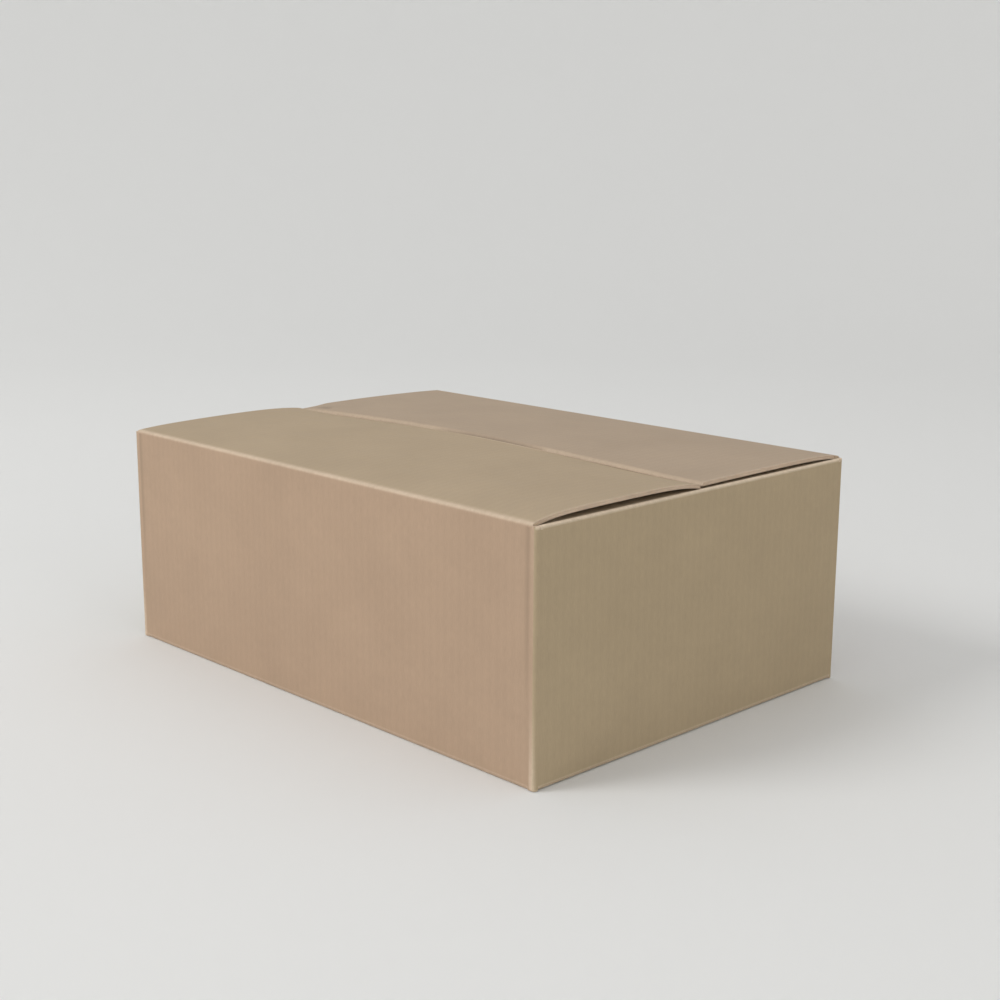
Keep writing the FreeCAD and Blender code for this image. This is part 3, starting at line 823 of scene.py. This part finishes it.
class Dome:
    """The outer flap's top surface, fitted smoothly to the frame's solid."""

    # How many powers are used along and across the flap
    DEGREES = (7, 8)

    def __init__(self, node, side, sign):
        self.side = side
        self.sign = sign
        self.depth = SIDE - FREE_EDGE
        tree = BVHTree.FromPolygons(
            [v.co for v in frame["nodes"][node].data.vertices],
            [p.vertices for p in frame["nodes"][node].data.polygons])
        xs = np.linspace(-FLAP_END + DOME_SIDE_INSET, FLAP_END - DOME_SIDE_INSET, DOME_SAMPLES)
        depths = np.linspace(FOLD + DOME_INSET, self.depth - DOME_INSET, DOME_SAMPLES)
        samples = []
        for x in xs:
            for depth in depths:
                y = sign * (SIDE - depth)
                hit = tree.ray_cast(Vector((x, y, RAY_START)), Vector((0, 0, -1)))[0]
                if hit is not None:
                    samples.append((x, depth, hit.z - CREASE))
        x, depth, height = np.array(samples).T
        self.factors = np.linalg.lstsq(self.terms(x, depth), height, rcond=None)[0]
        miss = self.terms(x, depth) @ self.factors - height
        print(f"{node}: doming fitted to {np.abs(miss).max() / MM:.2f} mm at most")

    def terms(self, x, depth):
        """Products of powers that vanish at the crease."""
        u = np.asarray(x) / FLAP_END
        v = (np.asarray(depth) - FOLD) / self.depth
        return np.stack([
            u ** i * v ** j for i in range(self.DEGREES[0]) for j in range(1, self.DEGREES[1])],
            axis=-1)

    def height(self, x, depth):
        """The fitted rise above the crease."""
        return self.terms(x, np.maximum(depth, FOLD)) @ self.factors

    def grid(self, xs, depths, levels):
        """Points over the flap, at depths in from the wall's face and levels over the dome."""
        x, depth = np.meshgrid(xs, depths, indexing="ij")
        z = CREASE + self.height(x, depth) + levels
        return np.stack([x, self.sign * (SIDE - depth), z], axis=-1)

    def top(self, xs, depths):
        """Level of the outer surface: round at the crease, squashed at the cut edges."""
        inward = np.clip(FOLD - depths, 0, FOLD)
        side = bend(FLAP_END - np.abs(xs), SIDE_REACH, SIDE_DROP)
        lip = bend(self.depth - depths, LIP_REACH[self.side], LIP_DROP[self.side])
        fold = FOLD - np.sqrt(FOLD ** 2 - inward ** 2)
        level = -np.maximum(side[:, None], (lip + fold)[None, :])
        if self.side == "back":
            from_seam = 1 - np.interp(self.depth - depths, DENT_ALONG_END, (0, 1))
            from_end = 1 - np.interp(FLAP_END + xs, DENT_ALONG_SEAM, (0, 1))
            level = np.minimum(level, -DENT * from_end[:, None] * from_seam[None, :])
        return level

    def under(self, xs, depths):
        """Level of the inner surface: squashed along the crease and at the cut edges."""
        side = bend(FLAP_END - np.abs(xs), SIDE_UNDER_REACH, SIDE_RISE)
        lip = bend(self.depth - depths, LIP_UNDER_REACH, LIP_RISE[self.side])
        score = bend(depths - ROOT, SCORE_REACH, SCORE_RISE)
        return np.maximum(side[:, None], (lip + score)[None, :]) - BOARD


def bend(distance, reach, amount):
    """How far a liner has bent at a distance from the edge that it bends at."""
    return amount * np.clip(1 - distance / reach, 0, 1) ** 2


def make_outer_flap(materials, side, sign):
    """An outer top flap: domed liners over real fluting, squashed at its cut edges."""
    node = f"{side}_top_flap"
    top_paper = materials[f"{side}_top"]
    dome = Dome(node, side, sign)
    free = dome.depth
    xs = spread(-FLAP_END, FLAP_END, FLAP_STRIDE_ALONG)

    tip = FOLD * (1 - math.sqrt(0.5))
    flat_depths = spread(FOLD, free, FLAP_STRIDE_ACROSS)
    depths = np.concatenate([np.linspace(tip, FOLD, FLAP_FOLD_LINES)[:-1], flat_depths])
    levels = dome.top(xs, depths)
    wear = grid_scuff(xs, depths, SIDE_WEAR, SIDE_WEAR, 0, 0)
    wear = np.maximum(wear, crease_wear(depths + FOLD_RUN)[None, :])
    # Pale wear along the lips, and painted shade along the back lip's middle stretch
    from_lip = scuff(free - depths, LIP_WEAR_AND_SHADE_REACH[side])
    lip_wear_and_shade = np.interp(xs / MM, *LIP_WEAR_AND_SHADE[side])[:, None] * from_lip[None, :]
    wear = np.where(np.abs(lip_wear_and_shade) > wear, lip_wear_and_shade, wear)
    # The back flap's crushed corner takes painted shade
    if side == "back":
        along_seam = (FLAP_END + xs - DENT_SHADE_PLACE[0]) / DENT_SHADE_REACH[0]
        along_end = (free - depths - DENT_SHADE_PLACE[1]) / DENT_SHADE_REACH[1]
        wear = wear + DENT_SHADE * np.exp(-along_seam[:, None] ** 2 - along_end[None, :] ** 2)
    put(slab(f"{side}_flap_outer_liner", dome.grid(xs, depths, levels),
             dome.grid(xs, depths, levels - LINER),
             [top_paper, materials["flute"], materials["cut"]], wear), node, node)

    flat_depths = spread(BOARD, free, FLAP_STRIDE_ACROSS)
    depths = np.concatenate([np.linspace(ROOT, BOARD, UNDER_ROOT_LINES)[:-1], flat_depths])
    levels = dome.under(xs, depths)
    edge_wear = UNDER_WEAR["edges"]
    wear = grid_scuff(xs, depths, edge_wear, edge_wear, UNDER_WEAR["root"], edge_wear)
    # Painted light: pale paper under the flap's ends, which lightens the shaded gap below them
    wear = np.maximum(wear, GAP_LIGHT_UNDER * gap_light(FLAP_END - np.abs(xs))[:, None])
    put(slab(f"{side}_flap_inner_liner", dome.grid(xs, depths, levels),
             dome.grid(xs, depths, levels + LINER),
             [materials["inside"], materials["flute"], materials["cut"]], wear), node)

    depths = np.linspace(ROOT_START, ROOT_REACH, ROOT_LINES)
    lower = np.maximum(-depths[None, :], dome.under(xs, depths) + LINER)
    put(slab(f"{side}_flap_root", dome.grid(xs, depths, dome.top(xs, depths) - LINER),
             dome.grid(xs, depths, lower), [materials["inside"]]), node)

    places = wave_places(-FLAP_END + EDGE_WEB, FLAP_END - EDGE_WEB)
    first, last = ROOT_REACH - FLUTE_OVERLAP, free - FLUTE_END_REACH
    depths = np.concatenate([np.linspace(first, last, FLUTE_LINES), free - FLUTE_ENDS])
    wear = np.tile(scuff(free - depths, FLUTE_WEAR_REACH), (len(places), 1))
    put(fluting(f"{side}_flap_fluting", dome.grid(places, depths, dome.top(places, depths) - LINER),
                dome.grid(places, depths, dome.under(places, depths) + LINER),
                places, materials["flute"], wear), node)
    make_edge_webs(materials, dome, side, node)
    make_crease(materials, dome, side)


def make_edge_webs(materials, dome, side, node):
    """The last flute's flank, cut along and squashed flat between the liners at each end."""
    random = np.random.default_rng(WEB_SEED[side])
    depths = np.linspace(ROOT, dome.depth - WEB_END, WEB_LINES)
    knots = np.linspace(depths[0], depths[-1], WEB_KNOTS)
    for tag, x_sign in (("left", -1), ("right", 1)):
        inset = WEB_INSET + WEB_WANDER * np.interp(depths, knots, random.random(len(knots)))
        wear = WEB_WEAR + WEB_WEAR_WANDER * np.interp(depths, knots, random.random(len(knots)))
        edge = np.array([x_sign * FLAP_END])
        upper = dome.grid(edge, depths, dome.top(edge, depths) - LINER)[0]
        lower = dome.grid(edge, depths, dome.under(edge, depths) + LINER)[0]
        rows = []
        for share in WEB_SHARES:
            row = upper * (1 - share) + lower * share
            hollow = inset + WEB_HOLLOW * math.sin(math.pi * share)
            row[:, 0] -= x_sign * hollow
            rows.append(row)
        outer = np.array(rows)
        inner = outer.copy()
        inner[:, :, 0] -= x_sign * FLUTE_PAPER
        put(slab(f"{side}_flap_{tag}_edge_web", outer, inner, [materials["cut"]],
                 np.tile(wear, (len(rows), 1))), node)


def crease_wear(run):
    """Scuffing along the crease, at distances over the paper from the middle of the fold."""
    on_wall = scuff(-run - CREASE_FULL[0], CREASE_FADE[0])
    on_flap = scuff(run - CREASE_FULL[1], CREASE_FADE[1])
    return CREASE_WEAR * np.minimum(on_wall, on_flap)


def make_crease(materials, dome, side):
    """The outer liner where it bends from the wall into the flap, along its hinge."""
    xs = spread(-FLAP_END, FLAP_END)
    wall_levels = np.linspace(-SKIN_ON_WALL, -FOLD, SKIN_WALL_LINES)[:-1]
    wall = [(0.0, level) for level in wall_levels]
    bend_points = [(FOLD - a, z - FOLD) for a, z in arc(0, 0, FOLD, 0, 90, CREASE_STEPS)]
    flap_depths = np.linspace(FOLD, SKIN_ON_FLAP, SKIN_FLAP_LINES)[1:]
    flap = [(depth, 0.0) for depth in flap_depths]
    path = np.array(wall + bend_points + flap)
    turns = np.linspace(0, math.pi / 2, len(bend_points))
    normals = np.array([(-1.0, 0.0)] * len(wall)
                       + [(-math.cos(a), math.sin(a)) for a in turns]
                       + [(0.0, 1.0)] * len(flap))
    outer = path + normals * SKIN_LIFT
    inner = path - normals * SKIN_DEPTH
    run = lengths(path)
    run -= run[len(wall) + CREASE_STEPS // 2]
    on_flap = np.clip(run / FOLD, 0, 1)[None, :]
    squash = bend(FLAP_END - np.abs(xs), SIDE_REACH, SIDE_DROP)[:, None] * on_flap
    cut_wear = SIDE_WEAR * scuff(FLAP_END - np.abs(xs))[:, None] * on_flap
    from_fold = END - FOLD - (xs if side == "back" else np.abs(xs))
    # The wall's part takes the upright fold's pale wear and painted shade
    wall_wear_and_shade = fold_wear_and_shade(from_fold, 1)[:, None] * (1 - on_flap)
    fold_row = crease_wear(run)[None, :]
    wear = np.where(
        fold_row > CREASE_FAINT, np.maximum(fold_row, cut_wear), wall_wear_and_shade + cut_wear)
    piece = slab(f"{side}_crease", dome.grid(xs, outer[:, 0], outer[:, 1] - squash),
                 dome.grid(xs, inner[:, 0], inner[:, 1] - squash),
                 [materials[f"{side}_top"]], wear)
    piece.data.materials.append(materials["front"])
    for polygon in piece.data.polygons:
        if polygon.center.z < CREASE - FOLD / 2:
            polygon.material_index = 1
    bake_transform(piece)


def plain_material(name, colour, roughness):
    """A material of one colour."""
    material, tree = new_nodes(name)
    shader = add(tree, "ShaderNodeBsdfPrincipled", {
        "Base Color": (*colour, 1), "Roughness": roughness, "Specular IOR Level": 0.2})
    add(tree, "ShaderNodeOutputMaterial", {"Surface": shader.outputs["BSDF"]})
    return material


def make_stage():
    """A plain pale floor that curves up into a backdrop all round."""
    profile = [(0.0, 0.0), (FLOOR_RADIUS, 0.0)]
    profile += [(FLOOR_RADIUS + CURVE_RADIUS * math.sin(a), CURVE_RADIUS * (1 - math.cos(a)))
                for a in np.linspace(0, math.pi / 2, CURVE_POINTS)[1:]]
    profile.append((profile[-1][0], profile[-1][1] + BACKDROP_HEIGHT))
    points = [(0.0, 0.0, 0.0)]
    for distance, height in profile[1:]:
        points += [(distance * math.cos(a), distance * math.sin(a), height)
                   for a in np.linspace(0, 2 * math.pi, STAGE_SIDES, endpoint=False)]
    faces = [(0, 1 + i, 1 + (i + 1) % STAGE_SIDES) for i in range(STAGE_SIDES)]
    for ring in range(len(profile) - 2):
        first, second = 1 + ring * STAGE_SIDES, 1 + (ring + 1) * STAGE_SIDES
        for i in range(STAGE_SIDES):
            after = (i + 1) % STAGE_SIDES
            faces.append((first + i, second + i, second + after, first + after))
    mesh = bpy.data.meshes.new("floor")
    mesh.from_pydata(points, [], faces)
    mesh.shade_smooth()
    mesh.materials.append(plain_material("pale_floor", FLOOR_COLOUR, roughness=0.9))
    floor = bpy.data.objects.new("floor", mesh)
    bpy.context.scene.collection.objects.link(floor)


def area_light(name, place, size, power):
    """A round soft lamp that faces the box."""
    lamp = bpy.data.lights.new(name, "AREA")
    lamp.shape = "DISK"
    lamp.size = size
    lamp.energy = power
    holder = bpy.data.objects.new(name, lamp)
    holder.location = place
    holder.rotation_mode = "QUATERNION"
    holder.rotation_quaternion = (Vector(LIT_POINT) - Vector(place)).to_track_quat("-Z", "Y")
    bpy.context.scene.collection.objects.link(holder)


def make_lights():
    """An even sky and two soft lamps."""
    world = bpy.data.worlds.new("studio")
    world.use_nodes = True
    background = world.node_tree.nodes["Background"]
    background.inputs["Color"].default_value = (1, 1, 1, 1)
    background.inputs["Strength"].default_value = SKY
    bpy.context.scene.world = world
    for name, (place, size, power) in LAMPS.items():
        area_light(name, place, size, power)


def make_camera():
    """The camera at the photograph's viewing angle."""
    azimuth, elevation, roll = (
        math.radians(angle) for angle in (CAMERA_AZIMUTH, CAMERA_ELEVATION, CAMERA_ROLL))
    back = Vector((
        math.sin(azimuth) * math.cos(elevation),
        -math.cos(azimuth) * math.cos(elevation),
        math.sin(elevation)))
    right = (-back).cross(Vector((0, 0, 1))).normalized()
    up = right.cross(-back)
    turned_right = right * math.cos(roll) + up * math.sin(roll)
    turned_up = -right * math.sin(roll) + up * math.cos(roll)
    data = bpy.data.cameras.new("camera")
    data.lens = CAMERA_LENS
    data.sensor_width = SENSOR
    camera = bpy.data.objects.new("camera", data)
    bpy.context.scene.collection.objects.link(camera)
    columns = Matrix((turned_right, turned_up, back)).transposed()
    camera.matrix_world = Matrix.Translation(CAMERA_PLACE) @ columns.to_4x4()
    bpy.context.scene.camera = camera


def main():
    """The stage, the carton's board and its two hinged flaps."""
    bpy.context.scene.view_settings.view_transform = "Standard"
    make_camera()
    make_stage()
    make_lights()
    materials = make_materials()
    make_walls(materials)
    make_inner_top_flaps(materials)
    make_bottom_flaps(materials)
    make_wall_tops(materials)
    make_glued_corner(materials)
    make_outer_flap(materials, "front", -1)
    make_outer_flap(materials, "back", 1)


main()
